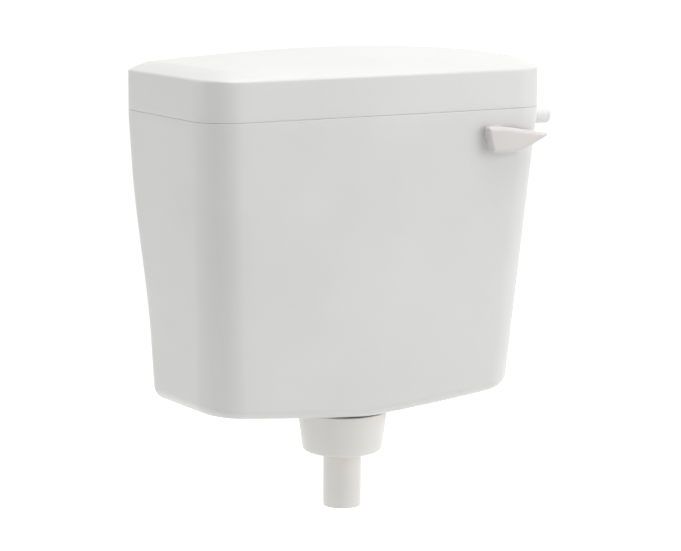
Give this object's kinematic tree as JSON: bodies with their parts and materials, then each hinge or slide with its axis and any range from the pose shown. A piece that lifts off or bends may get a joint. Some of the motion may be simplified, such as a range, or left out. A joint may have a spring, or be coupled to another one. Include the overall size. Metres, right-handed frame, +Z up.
{
  "type": "toilet cistern",
  "caption": "Wall-hung plastic toilet cistern with a tapered tank, crowned lift-off lid, front flush lever, siphon flush, side-entry float valve and a flush pipe under a tapered shroud.",
  "frame": {"origin": "on the wall plane, midway between the two wall fixing holes", "axes": "+X to the right seen from the front, +Y towards the wall, +Z up"},
  "size_m": [0.4484, 0.1961, 0.477],
  "materials": {
    "white_plastic": "satin gloss",
    "handle_plastic": "satin",
    "pipe_plastic": "satin",
    "natural_plastic": "moulded",
    "grey_plastic": "moulded",
    "rubber": "moulded",
    "steel": "drawn",
    "brass": "turned",
    "float_plastic": "moulded"
  },
  "bodies": {
    "tank": {"tank": "white_plastic", "lever_bush": "handle_plastic", "bush_washer": "rubber", "bush_nut": "grey_plastic", "rod_guide": "natural_plastic", "siphon_body": "natural_plastic", "siphon_leg": "natural_plastic", "siphon_cover": "natural_plastic", "siphon_seal": "rubber", "siphon_back_nut": "grey_plastic", "pipe_nut": "grey_plastic", "pipe_seal": "rubber", "flush_pipe": "pipe_plastic", "outlet_shroud": "pipe_plastic", "inlet_valve": "natural_plastic", "inlet_inner_washer": "rubber", "inlet_outer_washer": "rubber", "inlet_back_nut": "natural_plastic", "valve_nozzle": "brass", "valve_end_cap": "natural_plastic", "silencer_tube": "natural_plastic", "float_hinge_pin": "brass"},
    "lid": {"lid": "white_plastic"},
    "lever": {"lever_handle": "handle_plastic", "lever_spindle": "steel", "handle_screw": "steel", "spindle_clip": "steel", "lift_arm": "natural_plastic", "arm_screw": "steel"},
    "plunger": {"lift_link": "natural_plastic", "plunger_rod": "steel", "plunger_plate": "grey_plastic", "diaphragm": "rubber", "diaphragm_washer": "grey_plastic", "plunger_nut": "steel", "plate_nut": "steel"},
    "float": {"float_arm": "natural_plastic", "float_lock_nut": "natural_plastic", "float_ball": "float_plastic"},
    "piston": {"valve_piston": "grey_plastic", "piston_washer": "rubber"}
  },
  "joints": [
    {"name": "lid_lift", "type": "slide", "parent": "tank", "child": "lid", "axis": [0, 0, 1], "range_m": [0, 0.08]},
    {"name": "lever_turn", "type": "hinge", "parent": "tank", "child": "lever", "pos_m": [0.13, -0.18396, 0.006], "axis": [0, 1, 0], "range_deg": [0, 18]},
    {"name": "plunger_lift", "type": "slide", "parent": "tank", "child": "plunger", "axis": [0, 0, 1], "range_m": [0, 0.06335]},
    {"name": "float_rise", "type": "hinge", "parent": "tank", "child": "float", "pos_m": [0.14848, -0.104, 0.004], "axis": [0, 1, 0], "range_deg": [0, 35]},
    {"name": "piston_shut", "type": "slide", "parent": "tank", "child": "piston", "axis": [1, 0, 0], "range_m": [0, 0.00812]}
  ],
  "couplings": [
    {"joint": "plunger_lift", "follows": "lever_turn", "m_per_rad": 0.20166},
    {"joint": "piston_shut", "follows": "float_rise", "m_per_rad": 0.013291}
  ]
}
